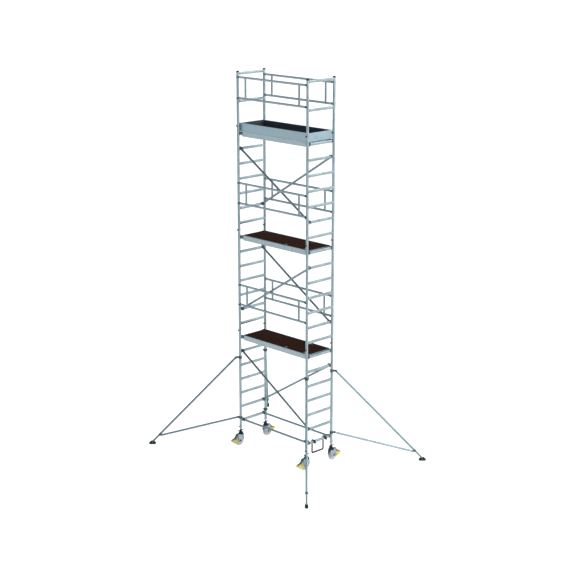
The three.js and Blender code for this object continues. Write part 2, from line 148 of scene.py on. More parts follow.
def metal(name, light, dark, roughness, streak=0.5):
    """Bare metal with drawn streaks along its grain, cloudy tone, smudges and scuffed ends."""
    material, tree, shader = start(name, metallic=1.0)
    grain = attribute(tree, "grain", "Vector")
    wear = attribute(tree, "wear", "Fac")
    streaks = noise(tree, stretched(tree, grain, (3.0, 190.0, 190.0)), 1.0, 4.0, 0.6)
    clouds = noise(tree, grain, 6.5, 3.0, 0.5)
    specks = noise(tree, grain, 55.0, 5.0, 0.65)
    tone = combine(tree, "ADD", combine(tree, "MULTIPLY", streaks, streak), clouds)
    middle = 0.5 * streak + 0.5
    tone = spread(tree, tone, middle - 0.17, middle + 0.17)
    colour = blend(tree, tone, rgb(dark), rgb(light))
    smudge = spread(tree, specks, 0.58, 0.74, 0.0, 0.45)
    colour = blend(tree, smudge, colour, rgb(dark, 0.55))
    scuff = combine(tree, "MULTIPLY", wear, spread(tree, specks, 0.4, 0.56))
    colour = blend(tree, scuff, colour, rgb(light, 0.5, 0.5))
    rough = spread(tree, clouds, 0.3, 0.7, roughness - 0.07, roughness + 0.1)
    rough = combine(tree, "ADD", rough, spread(tree, specks, 0.5, 0.75, 0.0, 0.16))
    surface(tree, shader, colour, rough, combine(tree, "ADD", streaks, specks), 0.0003, 0.5)
    return material


def coated(name, colour, worn, roughness, grit=0.0002, chips=0.63, gloss=0.5):
    """A coat of paint or moulded plastic: fine grit, faint clouds, and chips where it is rubbed."""
    material, tree, shader = start(name)
    shader.inputs["Specular IOR Level"].default_value = gloss
    grain = attribute(tree, "grain", "Vector")
    wear = attribute(tree, "wear", "Fac")
    clouds = noise(tree, grain, 9.0, 3.0, 0.55)
    specks = noise(tree, grain, 70.0, 5.0, 0.7)
    fine = noise(tree, grain, 900.0, 2.0, 0.5)
    shade = rgb(colour, 0.72)
    mixed = blend(tree, spread(tree, clouds, 0.35, 0.65), shade, rgb(colour))
    rubbed = combine(tree, "MULTIPLY", wear, 0.16)
    chipped = spread(tree, combine(tree, "ADD", specks, rubbed), chips, chips + 0.05)
    mixed = blend(tree, chipped, mixed, rgb(worn))
    rough = spread(tree, clouds, 0.3, 0.7, roughness - 0.08, roughness + 0.1)
    surface(tree, shader, mixed, rough, combine(tree, "ADD", fine, specks), grit, 0.6)
    return material


def plywood_face(name, colour, dusty):
    """Film-faced plywood: a fine wire-mesh print against slipping, scuffs and dust."""
    material, tree, shader = start(name)
    shader.inputs["Specular IOR Level"].default_value = 0.05
    grain = attribute(tree, "grain", "Vector")
    wear = attribute(tree, "wear", "Fac")
    mesh = {"Vector": grain, "Scale": 210.0, "Randomness": 0.15}
    cells = node(tree, "TexVoronoi", mesh, feature="DISTANCE_TO_EDGE").outputs["Distance"]
    clouds = noise(tree, grain, 4.0, 4.0, 0.6)
    scuffs = noise(tree, stretched(tree, grain, (9.0, 46.0, 46.0)), 1.0, 5.0, 0.7)
    wood = noise(tree, stretched(tree, grain, (5.0, 90.0, 90.0)), 1.0, 3.0, 0.6)
    dark = rgb(colour, 0.6)
    mixed = blend(tree, spread(tree, wood, 0.35, 0.65), dark, rgb(colour))
    dust = spread(tree, clouds, 0.45, 0.7, 0.0, 0.14)
    mixed = blend(tree, dust, mixed, rgb(dusty))
    rubbed = combine(tree, "ADD", scuffs, combine(tree, "MULTIPLY", wear, 0.06))
    mixed = blend(tree, spread(tree, rubbed, 0.6, 0.74, 0.0, 0.3), mixed, rgb(dusty))
    rough = spread(tree, clouds, 0.3, 0.7, 0.56, 0.74)
    height = spread(tree, cells, 0.02, 0.12, 1.0, 0.0)
    surface(tree, shader, mixed, rough, combine(tree, "ADD", height, scuffs), 0.0005, 0.7)
    return material


def plywood_edge(name, light, dark):
    """The sealed edge of the plywood, where its layers still show as fine lines."""
    material, tree, shader = start(name)
    grain = attribute(tree, "grain", "Vector")
    layers = {"Vector": stretched(tree, grain, (0.02, 0.02, 1.0)), "Scale": 110.0, "Distortion": 0.6}
    bands = node(tree, "TexWave", layers, bands_direction="Z").outputs["Fac"]
    flecks = noise(tree, stretched(tree, grain, (30.0, 30.0, 300.0)), 1.0, 3.0, 0.6)
    tone = spread(tree, combine(tree, "ADD", bands, flecks), 0.5, 1.4)
    colour = blend(tree, tone, rgb(dark), rgb(light))
    surface(tree, shader, colour, spread(tree, flecks, 0.3, 0.7, 0.6, 0.8), bands, 0.0003, 0.6)
    return material


ALUMINIUM = metal("aluminium_tube", (0.62, 0.79, 0.85), (0.49, 0.65, 0.71), 0.34)
WELD = metal("aluminium_weld", (0.58, 0.68, 0.72), (0.34, 0.42, 0.46), 0.5, 0.1)
DULL = metal("aluminium_brace", (0.49, 0.64, 0.70), (0.38, 0.51, 0.57), 0.36)
STAY = metal("aluminium_outrigger", (0.48, 0.63, 0.70), (0.38, 0.51, 0.57), 0.36)
BEAM = metal("aluminium_beam", (0.51, 0.71, 0.82), (0.45, 0.63, 0.74), 0.36)
BOARD = metal("aluminium_board", (0.56, 0.79, 0.91), (0.49, 0.71, 0.83), 0.40)
LEG = metal("aluminium_leg", (0.42, 0.53, 0.57), (0.31, 0.40, 0.44), 0.34)
ZINC = metal("zinc_plated_steel", (0.43, 0.65, 0.73), (0.30, 0.49, 0.57), 0.36, 0.2)
STEEL = metal("bolt_steel", (0.46, 0.52, 0.55), (0.22, 0.26, 0.28), 0.40, 0.2)
DARK = coated("dark_coated_steel", (0.088, 0.168, 0.200), (0.26, 0.33, 0.36), 0.5)
# The step coating is the real dark coat of the stirrup and the castors' turntables, cones and wing nuts;
# on the forks' webs it is painted shade.
STEP_COAT_AND_SHADE = coated("step_coating_and_painted_shade", (0.026, 0.041, 0.054), (0.12, 0.15, 0.17), 0.6, gloss=0.1)
BLACK = coated("black_moulded_plastic", (0.010, 0.017, 0.020), (0.05, 0.06, 0.065), 0.55)
RUBBER = coated("black_rubber", (0.016, 0.028, 0.031), (0.06, 0.07, 0.072), 0.78, grit=0.0005)
NYLON = coated("pale_grey_nylon", (0.90, 0.86, 0.94), (0.60, 0.57, 0.62), 0.5, chips=0.7)
YELLOW = coated("yellow_coating", (1.0, 0.84, 0.19), (0.40, 0.34, 0.10), 0.46, chips=0.76)
PLY = plywood_face("phenolic_film", (0.056, 0.0130, 0.0042), (0.090, 0.040, 0.025))
# The slate film is the top deck's own colour; on the toe boards' inner faces it is painted shade.
PLY_SLATE_AND_SHADE = plywood_face("phenolic_film_slate_and_painted_shade", (0.085, 0.106, 0.140), (0.125, 0.145, 0.170))
PLY_EDGE = plywood_edge("plywood_edge", (0.050, 0.028, 0.020), (0.016, 0.010, 0.008))


# -------- shapes
def vec(*values):
    return np.array(values, float)


def unit(vectors):
    return vectors / np.linalg.norm(vectors, axis=-1, keepdims=True)


def span(side, a, b):
    """The numbers a and b, mirrored if side is -1, with the lower first."""
    return sorted((side * a, side * b))


def frame_of(axis):
    """Unit vectors along an axis and across it."""
    along = unit(vec(*axis))
    helper = Z if abs(along[2]) < 0.9 else X
    across = unit(np.cross(helper, along))
    return along, across, np.cross(along, across)


def circle(sides, across, up):
    """Points on a unit circle that starts at one direction and turns towards the other."""
    angles = np.arange(sides) * 2 * math.pi / sides
    return np.outer(np.cos(angles), across) + np.outer(np.sin(angles), up)


def arc(centre, radius, start_angle, end_angle, a, b, steps=6):
    """Points on an arc, in degrees from direction a towards direction b."""
    angles = np.radians(np.linspace(start_angle, end_angle, steps + 1))
    return [centre + radius * (math.cos(t) * a + math.sin(t) * b) for t in angles]


def anticlockwise(outline):
    points = np.array(outline, float)
    after = np.roll(points, -1, axis=0)
    area = (points[:, 0] * after[:, 1] - after[:, 0] * points[:, 1]).sum()
    return points if area > 0 else points[::-1]


def inset(outline, distance):
    """An anticlockwise outline moved inwards by a distance."""
    before = np.roll(outline, 1, axis=0)
    after = np.roll(outline, -1, axis=0)
    first, second = unit(outline - before), unit(after - outline)
    a = np.stack([-first[:, 1], first[:, 0]], 1)
    b = np.stack([-second[:, 1], second[:, 0]], 1)
    scale = 1 / np.maximum(1 + (a * b).sum(1), 0.4)
    return outline + (a + b) * scale[:, None] * distance


def rounded(outline, radius, steps=2):
    """An outline with its corners rounded."""
    points = anticlockwise(outline)
    made = []
    for i, corner in enumerate(points):
        back = points[i - 1] - corner
        on = points[(i + 1) % len(points)] - corner
        reach = min(radius, 0.45 * np.linalg.norm(back), 0.45 * np.linalg.norm(on))
        a, b = corner + unit(back) * reach, corner + unit(on) * reach
        for t in np.linspace(0, 1, steps + 1):
            made.append((1 - t) ** 2 * a + 2 * t * (1 - t) * corner + t * t * b)
    return np.array(made)


def rectangle(a0, b0, a1, b1, radius=0.0, steps=2):
    outline = [(a0, b0), (a1, b0), (a1, b1), (a0, b1)]
    return rounded(outline, radius, steps) if radius else outline


def shifted(outline, a, b):
    return [(a + p, b + q) for p, q in outline]


def sector(inner, outer, start_angle, end_angle, steps=18):
    """The outline of a ring's sector, in degrees."""
    ends = (start_angle, end_angle, *np.eye(2), steps)
    return arc(0, outer, *ends) + arc(0, inner, *ends)[::-1]


PLANES = {"xy": (X, Y, Z), "xz": (X, Z, Y), "yz": (Y, Z, X)}


class Shape:
    """Closed shells: points with their grain and wear, and faces with their looks."""

    def __init__(self):
        self.points, self.grain, self.wear = [], [], []
        self.faces, self.looks = [], []
        self.size = 0

    def loft(self, rings, look, grain, loop=False, wear=0.0):
        """A skin through rings of points. Its ends are closed unless it loops."""
        total, sides = len(rings), len(rings[0])
        points = np.concatenate(rings)
        shift = np.array([draw.uniform(0, 9000) for _ in range(3)])
        self.points.append(points)
        self.grain.append(points @ np.stack(frame_of(grain), 1) + shift)
        self.wear.append(np.repeat(np.broadcast_to(np.array(wear, float), total), sides))
        here = np.arange(sides)
        there = np.roll(here, -1)
        for k in range(total if loop else total - 1):
            a = self.size + sides * k
            b = self.size + sides * ((k + 1) % total)
            quads = np.stack([a + here, a + there, b + there, b + here], 1)
            self.faces.extend(quads.tolist())
            self.looks.extend([look] * sides)
        if not loop:
            self.faces.append((self.size + here[::-1]).tolist())
            self.faces.append((self.size + sides * (total - 1) + here).tolist())
            self.looks.extend([look] * 2)
        self.size += len(points)
        return self

    def put(self, other, move=None, turn=0.0, mirror=(1, 1, 1)):
        """A copy of another shape: mirrored, then turned about Z in degrees, then moved."""
        c, s = math.cos(math.radians(turn)), math.sin(math.radians(turn))
        matrix = np.array([[c, -s, 0], [s, c, 0], [0, 0, 1]]) @ np.diag(mirror)
        shift = np.zeros(3) if move is None else np.array(move, float)
        grain_shift = np.array([draw.uniform(0, 9000) for _ in range(3)])
        for points in other.points:
            self.points.append(points @ matrix.T + shift)
        self.grain.extend(grain + grain_shift for grain in other.grain)
        self.wear.extend(other.wear)
        self.faces.extend([[i + self.size for i in face] for face in other.faces])
        self.looks.extend(other.looks)
        self.size += other.size
        return self

    def tube(self, start, end, radius, look, sides=24, chamfer=1.0, bore=None, open_ends="ab"):
        """A round bar. With a bore, its named ends are hollow to some depth: (radius, depth)."""
        start, end = np.array(start, float), np.array(end, float)
        length = np.linalg.norm(end - start)
        along, across, up = frame_of(end - start)
        around = circle(sides, across, up)
        scuffed = min(45.0, 0.3 * length)
        half = [(0, radius - chamfer, 1), (chamfer, radius, 1), (scuffed, radius, 0)]
        stations = half + [(length - s, r, w) for s, r, w in reversed(half)]
        if bore and "a" in open_ends:
            stations = [(bore[1], bore[0], 0), (0, bore[0], 1)] + stations
        if bore and "b" in open_ends:
            stations += [(length, bore[0], 1), (length - bore[1], bore[0], 0)]
        rings = [start + along * s + around * r for s, r, _ in stations]
        return self.loft(rings, look, along, wear=[w for _, _, w in stations])

    def pin(self, centre, axis, start, end, radius, sides=12, chamfer=1.0, look=STEEL):
        """A round bar through a point, from start to end along an axis."""
        centre = vec(*centre)
        return self.tube(centre + axis * start, centre + axis * end, radius, look, sides, chamfer)

    def slab(self, outline, plane, low, high, look, chamfer=1.0, grain=None, wear=(1, 0.4, 0.4, 1)):
        """An outline in a plane, drawn out from low to high across it, with chamfered rims."""
        a, b, c = PLANES[plane]
        outer = anticlockwise(outline)
        inner = inset(outer, chamfer)
        stations = [(low, inner), (low + chamfer, outer), (high - chamfer, outer), (high, inner)]
        rings = [np.outer(o[:, 0], a) + np.outer(o[:, 1], b) + c * s for s, o in stations]
        return self.loft(rings, look, a if grain is None else grain, wear=wear)

    def block(self, low, high, look, chamfer=1.5, grain=None):
        """A box with chamfered edges."""
        outline = rectangle(*low[:2], *high[:2], chamfer, 1)
        return self.slab(outline, "xy", low[2], high[2], look, chamfer, grain)

    def lathe(self, profile, origin, axis, look, sides=24, loop=False, wear=0.5):
        """A profile of (radius, height) turned about an axis. It loops round a hole."""
        along, across, up = frame_of(axis)
        around = circle(sides, across, up)
        rings = [vec(*origin) + along * h + around * r for r, h in profile]
        return self.loft(rings, look, along, loop, wear)

    def ring(self, origin, axis, radius, thickness, look, sides=24, around=8):
        """A torus about an axis."""
        along, across, up = frame_of(axis)
        rings = [
            vec(*origin) + out * radius + circle(around, out, along) * thickness
            for out in circle(sides, across, up)
        ]
        return self.loft(rings, look, along, loop=True)

    def pipe(self, path, radius, look, sides=12):
        """A round bar bent along a path."""
        path = np.array(path, float)
        steps = unit(np.diff(path, axis=0))
        tangents = unit(np.concatenate([steps[:1], steps[:-1] + steps[1:], steps[-1:]]))
        across = frame_of(tangents[0])[1]
        rings = []
        for point, tangent in zip(path, tangents):
            across = unit(across - tangent * (across @ tangent))
            rings.append(point + circle(sides, across, np.cross(tangent, across)) * radius)
        return self.loft(rings, look, path[-1] - path[0] + 1e-6)

    def rivet(self, at, axis, radius=4.0, height=2.2, look=STEEL):
        """A domed rivet or screw head standing on a face."""
        profile = [(radius, -1), (radius, 0.3), (0.86 * radius, 0.6 * height), (0.4 * radius, height)]
        return self.lathe(profile, at, axis, look, 10)

    def bolt(self, at, axis, radius, height, look=STEEL):
        """A hexagonal bolt head on a washer."""
        washer = [(radius * 1.35, -0.5), (radius * 1.35, 1.2), (radius * 1.25, 1.6)]
        self.lathe(washer, at, axis, look, 18)
        head = [(radius, 1), (radius, height - 1), (radius * 0.8, height)]
        return self.lathe(head, at, axis, look, 6)


def build(name, shape, body="tower", at=None, turn=0.0):
    """A piece of the object, from a shape in millimetres: NODE.PIECE stands for a CAD node."""
    if at is not None:
        shape = Shape().put(shape, at, turn)
    stands_for = name.split(".")[:-1]
    mesh = bpy.data.meshes.new(name)
    mesh.from_pydata((np.concatenate(shape.points) * MM).tolist(), [], shape.faces)
    looks = list(dict.fromkeys(shape.looks))
    for look in looks:
        mesh.materials.append(look)
    index = {look: i for i, look in enumerate(looks)}
    mesh.polygons.foreach_set("material_index", [index[look] for look in shape.looks])
    grain = mesh.attributes.new("grain", "FLOAT_VECTOR", "POINT")
    grain.data.foreach_set("vector", (np.concatenate(shape.grain) * MM).ravel())
    wear = mesh.attributes.new("wear", "FLOAT", "POINT")
    wear.data.foreach_set("value", np.concatenate(shape.wear))
    edited = bmesh.new()
    edited.from_mesh(mesh)
    bmesh.ops.recalc_face_normals(edited, faces=edited.faces)
    edited.to_mesh(mesh)
    edited.free()
    mesh.shade_smooth()
    mesh.set_sharp_from_angle(angle=math.radians(38))
    piece = bpy.data.objects.new(name, mesh)
    bpy.context.scene.collection.objects.link(piece)
    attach(piece, body)
    if stands_for:
        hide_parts(*stands_for)


# -------- ladder frames
def rung_outline():
    """A rung's section in X and Z: a ribbed tread, bulging sides and a groove in each side."""
    crests = []
    for k in range(5):
        x = 9.8 - 4.9 * k
        crests += [(x + 1.5, 23.8), (x + 1.1, RUNG_HALF), (x - 1.1, RUNG_HALF), (x - 1.5, 23.8)]
    left = [(-14.2, 18), (-15.8, 10), (-16, 3.5), (-14.8, 2.4), (-14.8, -2.4), (-16, -3.5)]
    left += [(-15.6, -11), (-13.6, -19), (-10.5, -24)]
    groove = [(-2, -24), (2, -24)]
    bottom = [(-6, -RUNG_HALF), (-3, -RUNG_HALF), *groove, (3, -RUNG_HALF), (6, -RUNG_HALF)]
    right = [(-x, z) for x, z in reversed(left)]
    return np.array(crests + left + bottom + right)


RUNG_OUTLINE = rung_outline()
COLLAR = [(-12, RUNG_HALF), (-16.5, 0), (-12, -RUNG_HALF), (12, -RUNG_HALF), (16.5, 0)]
COLLAR_OUTLINE = rounded(COLLAR + [(12, RUNG_HALF)], 5)


def weld_collar(shape, centre, way):
    """A fillet weld round a rung's end. `way` is +1 or -1 along Y, away from the upright."""
    rings = []
    for grown, distance in ((5.0, 0), (3.2, 4), (0.6, 8)):
        outline = inset(COLLAR_OUTLINE, -grown)
        ring = np.outer(outline[:, 0], X) + np.outer(outline[:, 1], Z)
        rings.append(vec(*centre) + ring + Y * way * distance)
    shape.loft(rings, WELD, Y)


def rung(height):
    shape = Shape()
    reach = SIDE_Y - 17
    shape.slab(RUNG_OUTLINE + [0, height], "xz", -reach, reach, ALUMINIUM, 0.6, Y)
    for side in BOTH:
        weld_collar(shape, (0, side * (SIDE_Y - 21), height), -side)
    return shape


def end_frame(low, high, rungs, spigots=True):
    """Two uprights, hollow from below, with rungs welded between them."""
    shape = Shape()
    bore = (20.2, 330.0)  # deeper than a castor's stem reaches
    for y in (-SIDE_Y, SIDE_Y):
        shape.tube((0, y, low), (0, y, high), UPRIGHT_R, ALUMINIUM, 32, 1.4, bore, "a")
        if spigots:
            shape.pin((0, y, high), Z, -2, 100, 18.5, 20, 3)
    for z in rungs:
        shape.put(rung(z))
    return shape


def end_cap(shape, x, y, z):
    """The moulded cap that closes an upright, with its rim standing proud of the tube."""
    profile = [(20, -18), (20.2, -2), (26.4, -2), (26.5, 4), (26.2, 16), (24, 22), (18, 24.6), (8, 25)]
    shape.lathe(profile, (x, y, z), Z, BLACK, 32)


def spring_clip(shape, x, y, z):
    """The clip through a frame joint: a moulded knob in front and the pin's end behind."""
    shape.pin((x, y, z), Y, -44, 34, 4.2)
    profile = [(8, 0), (12, 1.5), (14.5, 6), (14.5, 14), (11, 20), (4, 22)]
    shape.lathe(profile, (x, y - 26, z), -Y, BLACK, 20)
    shape.lathe([(6, 0), (9, 1), (9, 6), (7, 8)], (x, y + 26, z), Y, BLACK, 16)
    shape.ring((x, y, z - 12), Z, UPRIGHT_R + 1.2, 1.6, STEEL, 32, 8)


def lock_pin(shape, x, y, z):
    """The pin that keeps a castor's stem in its upright, with its knob on the outer side."""
    out = math.copysign(1, y)
    shape.pin((x, y, z), out * Y, -34, 34, 4)
    knob = [(7, 0), (11.5, 1.5), (13, 5), (13, 11), (9, 15), (3, 16)]
    shape.lathe(knob, (x, y + out * 25, z), out * Y, BLACK, 18)
    shape.ring((x, y - out * 32, z - 9), X, 10, 1.6, STEEL, 20, 6)


def on_uprights(fitting, end, z):
    """A shape with the same fitting on both uprights of an end frame."""
    shape = Shape()
    for y in (-SIDE_Y, SIDE_Y):
        fitting(shape, end * END_X, y, z)
    return shape


def ladder_frames():
    rungs = [PITCH * k for k in range(7)]
    for end, word in ENDS:
        for level in LEVELS:
            foot = (end * END_X, 0, FIRST_RUNG + LIFT * (level - 1))
            shape = end_frame(-BELOW_RUNG + 0.3, LIFT - BELOW_RUNG - 0.6, rungs)
            build(f"ladder_frame_{level}_{word}.tubes", shape, at=foot)
        name = f"guard_end_frame_{word}"
        shape = end_frame(0.3, GUARD_END_HEIGHT, (484, 986), spigots=False)
        build(name + ".tubes", shape, at=(end * END_X, 0, JOINTS_Z[-1]))
        build(name + ".caps", on_uprights(end_cap, end, JOINTS_Z[-1] + GUARD_END_HEIGHT - 1))
        for level, z in zip(LEVELS, JOINTS_Z):
            build(f"joint_clips_{level}_{word}", on_uprights(spring_clip, end, z + 30))
        build(f"castor_lock_pins_{word}", on_uprights(lock_pin, end, LOCK_PIN_Z))


# -------- braces
def hook(root, low, half_width, grip):
    """A cast hook over a rung at the origin; its root is on the +X side. A latch closes it."""
    outline = [
        (-29, -14), (-HOOK_SIDE, -14), (-HOOK_SIDE, HOOK_ROOF), (HOOK_SIDE, HOOK_ROOF),
        (HOOK_SIDE, low), (root, low), (root, 26), (root - 10, 35), (-21, 35), (-29, 27),
    ]
    shape = Shape()
    shape.slab(rounded(outline, 4), "xz", -half_width, half_width, DARK, 1.6)
    for x in (-22.5, root - 12):
        for side in BOTH:
            shape.rivet((x, side * half_width, 22), side * Y, 4.5, 2.5)
    latch = [(-25, -27.5), (grip, -27.5), (grip + 6, -18), (grip + 11, -20), (grip + 8, -33)]
    latch += [(-22, -34)]
    shape.slab(rounded(latch, 2.5), "xz", -5, 5, ZINC, 1)
    shape.pin((grip + 2, 0, -27), Y, -half_width - 2, half_width + 2, 3.2, 10)
    return shape


def braces():
    kinds = [  # with the rungs that the front brace's left and right hooks hold
        ("horizontal_brace", 0, 0),
        ("diagonal_brace_1", 5, 1),
        ("diagonal_brace_2", 8, 12),
        ("diagonal_brace_3", 19, 15),
    ]
    claw = hook(48, -20, 13, 26)
    for kind, left, right in kinds:
        for side, word in SIDES:
            rungs = (left, right) if side < 0 else (right, left)
            first, last = [
                vec(x, side * BRACE_Y, FIRST_RUNG + n * PITCH) for x, n in zip((-END_X, END_X), rungs)
            ]
            along = unit(last - first)
            tube, hooks = Shape(), Shape()
            tube.tube(first + along * 46, last - along * 46, 20, DULL, 28, 1.2)
            for point, way in ((first, 1), (last, -1)):
                hooks.put(claw, point, mirror=(way, 1, 1))
                neck = point + along * way * 38
                hooks.tube(neck, neck + along * way * 34, 21.4, DARK, 24, 2)
                for distance in (16, 26):
                    for face in (-side, side):
                        place = neck + along * way * distance + Y * face * 21
                        hooks.rivet(place, face * Y, 3.6, 2)
            build(f"{kind}_{word}.tube", tube)
            build(f"{kind}_{word}.hooks", hooks)


# -------- side guard frames
def guard_claw():
    """A claw round an upright at the origin; its rail comes from the -X side."""
    shape = Shape()
    jaw = rounded(sector(25.6, 29.6, 78, 282, 22), 1.2, 1)
    shape.slab(jaw, "xy", -18, 18, ZINC, 1.2)
    shape.slab(rectangle(-47, -17, -25, 17, 4), "xy", -20, 20, DARK, 2)
    shape.tube((-60, 0, 0), (-46, 0, 0), 22, ZINC, 24, 2)
    for z in (-12, 12):
        shape.pin((4, 0, z), Y, -34, -27, 3.5, 10)
    lever = rounded([(-6, -31), (8, -31), (12.6, -28), (10, -25), (-6, -27)], 2)
    shape.slab(lever, "xy", -12, 12, DARK, 1)
    trigger = rounded([(-34, -29), (-8, -31), (-6, -27), (-34, -24)], 2, 1)
    shape.slab(trigger, "xy", -7, 7, BLACK, 1)
    return shape


def side_guards():
    claw = guard_claw()
    for level, base in zip(LEVELS, PLATFORM_Z):
        for side, word in SIDES:
            name = f"guard_frame_{level}_{word}"
            y, low, high = side * SIDE_Y, base + GUARD_FOOT, base + GUARD_FOOT + GUARD_GAP
            rails, claws = Shape(), Shape()
            for z in (low, high):
                rails.tube((-845, y, z), (845, y, z), 20.5, ALUMINIUM, 28, 1.2)
                for end in BOTH:
                    claws.put(claw, (end * END_X, y, z), mirror=(end, -side, 1))
            for end in BOTH:
                x = end * 692
                rails.tube((x, y, low + 14), (x, y, high - 14), 18.5, DULL, 28, 0.6)
                for z, way in ((low, 1), (high, -1)):
                    fillet = [(25.5, 12), (23.2, 16.5), (20.6, 20.5), (18.9, 25)]
                    rails.lathe(fillet, (x, y, z), Z * way, WELD, 28)
            build(name + ".tubes", rails)
            build(name + ".claws", claws)


# -------- platforms
def side_beam(side, look):
    """An extruded side beam: a web between flanges, with a lip that edges the deck."""
    shape = Shape()
    y0, y1 = span(side, BEAM_INNER, BEAM_OUTER)
    web = [(-866, 9), (-813, -44), (813, -44), (866, 9), (866, 34), (-866, 34)]
    shape.slab(web, "xz", y0 + 2, y1 - 2, look, 0.8)
    shape.slab(rectangle(-868, 27, 868, 36, 1.5, 1), "xz", y0, y1, look, 1.2)
    shape.slab(rectangle(-812, -46, 812, -38, 1.5, 1), "xz", y0, y1, look, 1.2)
    shape.slab(rectangle(-838, -7, 838, -2, 1, 1), "xz", y0 + 1.6, y1 - 1.6, look, 1)
    lip = rectangle(-868, 34, 868, DECK_TOP, 1.5, 1)
    shape.slab(lip, "xz", *span(side, 282, BEAM_OUTER), look, 1.2)
    for end in BOTH:
        slope = [(868, 8), (814, -46), (804, -46), (860, 12)]
        shape.slab([(end * x, z) for x, z in slope], "xz", y0, y1, look, 1)
        shape.slab(rectangle(end * 868, 8, end * 860, 30), "xz", y0, y1, look, 1)
    return shape


def platform_frame(look):
    beams, fittings = Shape(), Shape()
    for side in BOTH:
        beams.put(side_beam(side, look))
    crossbars = [
        (-868, -838, -24), (-470, -440, -4), (-145, -115, -4), (180, 215, -24), (808, 868, -24),
    ]
    for x0, x1, low in crossbars:
        beams.block((x0, -277, low), (x1, 277, 35.4), look, 2, Y)
        for side in BOTH:
            bead = rectangle(x0 - 3, low - 3, x1 + 3, 33, 3, 1)
            beams.slab(bead, "xz", *span(side, 271, BEAM_INNER + 1), WELD, 2)
    claw = hook(50, -10, 11.5, 28)
    beam_middle = (BEAM_INNER + BEAM_OUTER) / 2
    for side in BOTH:
        face = side * BEAM_OUTER
        for end in BOTH:
            fittings.put(claw, (end * END_X, side * beam_middle, 0), mirror=(-end, 1, 1))
            casting = [(868, 35), (868, 9), (848, -12), (836, -12), (824, 6), (824, 35)]
            casting = rounded([(end * x, z) for x, z in casting], 4)
            plate = span(side, BEAM_OUTER - 1, BEAM_OUTER + 2.4)
            fittings.slab(casting, "xz", *plate, DARK, 1)
            for x, z in ((836, 24), (838, 2), (856, 24)):
                fittings.rivet((end * x, face + side * 2.2, z), side * Y, 4, 2, ZINC)
    return beams, fittings


def board(outline, film):
    """A plywood board with its layers showing along its edge."""
    shape = Shape().slab(outline, "xy", DECK_LOW, DECK_TOP, film, 1.2, wear=(0.7, 1, 1, 0.7))
    count = len(outline)
    shape.looks[count : 2 * count] = [PLY_EDGE] * count
    return shape


def deck_board(film):
    outline = [
        (-864, -281.5), (197, -281.5), (197, 239), (823, 239), (823, -281.5), (864, -281.5),
        (864, 281.5), (-864, 281.5),
    ]
    shape = board(rounded(outline, 5), film)
    screws = [(x, y) for x in (-845, -640, -455, -290, -130, 40, 186) for y in (-270, 270)]
    screws += [(x, 270) for x in (330, 480, 640, 790)]
    screws += [(-853, 0), (-455, 0), (-130, 0), (843, 0)]
    screws += [(843, -200), (843, 200), (-853, -200), (-853, 200)]
    for x, y in screws:
        shape.rivet((x, y, DECK_TOP - 0.1), Z, 4.5, 1.0)
    return shape


def hatch_board(film):
    shape = board(rectangle(200, -268, 820, 236, 8, 3), film)
    for x in HINGES_X:
        leaf = rectangle(x - 32, -262, x + 32, -206, 5)
        shape.slab(leaf, "xy", 46.1, 48.0, DARK, 0.6)
        for dx in (-22, 22):
            for y in (-246, -218):
                shape.rivet((x + dx, y, 47.9), Z, 4, 1.4)
        shape.pin((x, -266, 49), X, -34, 34, 4.2, 14, 0.8, DARK)
    handle = rectangle(455, 168, 565, 212, 16, 4)
    shape.slab(handle, "xy", 46.0, 48.0, BLACK, 0.7)
    grip = [(470, 48), (472, 54), (480, 57), (540, 57), (548, 54), (550, 48)]
    shape.pipe([(x, 190, z) for x, z in grip], 3.5, STEEL)
    stiffener = rectangle(240, -40, 780, -10, 3, 1)
    shape.slab(stiffener, "xy", 30.0, 36.6, ZINC, 1)
    return shape


def platforms():
    for level, base in zip(LEVELS, PLATFORM_Z):
        name = f"platform_{level}"
        top = level == LEVELS[-1]
        film = PLY_SLATE_AND_SHADE if top else PLY
        beams, fittings = platform_frame(BOARD if top else BEAM)
        pieces = [
            ("_frame.beams", beams, "platform_beam", "tower"),
            ("_frame.hooks", fittings, "dark_steel", "tower"),
            ("_deck.board", deck_board(film), "deck_plywood", "tower"),
            ("_hatch.board", hatch_board(film), "deck_plywood", f"hatch_{level}"),
        ]
        for word, shape, slot, body in pieces:
            build(name + word, shape, body, (0, 0, base))
        hinges = Shape()
        for x in HINGES_X:
            leaf = rectangle(x - 32, -299, x + 32, -284, 3)
            hinges.slab(leaf, "xy", 45.6, 48.4, DARK, 0.8)
            bracket = rectangle(x - 30, 12, x + 30, 34, 4)
            hinges.slab(bracket, "xz", -302.4, -299.5, BEAM, 0.8)
            for dx in (-20, 20):
                hinges.rivet((x + dx, -302.4, 23), -Y, 3.5, 1.6)
        build(name + "_hinge_brackets", hinges, at=(0, 0, base))


# -------- toe boards
TOE_LOW = PLATFORM_Z[-1] + DECK_TOP + 0.3
TOE_HIGH = TOE_LOW + 155


def toe_board(side, along, middle, halves):
    """A board along X or Y, with a rim at its foot and top, and a dark slate sheet on its inner face
    that is painted shade.
    """
    body, rim, shade_half = halves
    centre = side * middle
    low, high, section, face = (-body, centre - 7.5), (body, centre + 7.5), "yz", "xz"
    if along is Y:
        low, high, section, face = low[::-1], high[::-1], face, section
    shape = Shape()
    shape.block((*low, TOE_LOW + 3), (*high, TOE_HIGH - 3), BOARD, 1.5, along)
    for z in (TOE_LOW, TOE_HIGH - 9):
        outline = rectangle(centre - 9, z, centre + 9, z + 9, 3)
        shape.slab(outline, section, -rim, rim, BOARD, 1.2, along)
    # The dark slate sheet on the board's inner face is painted shade.
    outline = rectangle(-shade_half, TOE_LOW + 9, shade_half, TOE_HIGH - 9, 2)
    shape.slab(outline, face, *span(side, middle - 8.8, middle - 6), PLY_SLATE_AND_SHADE, 0.6, along)
    return shape


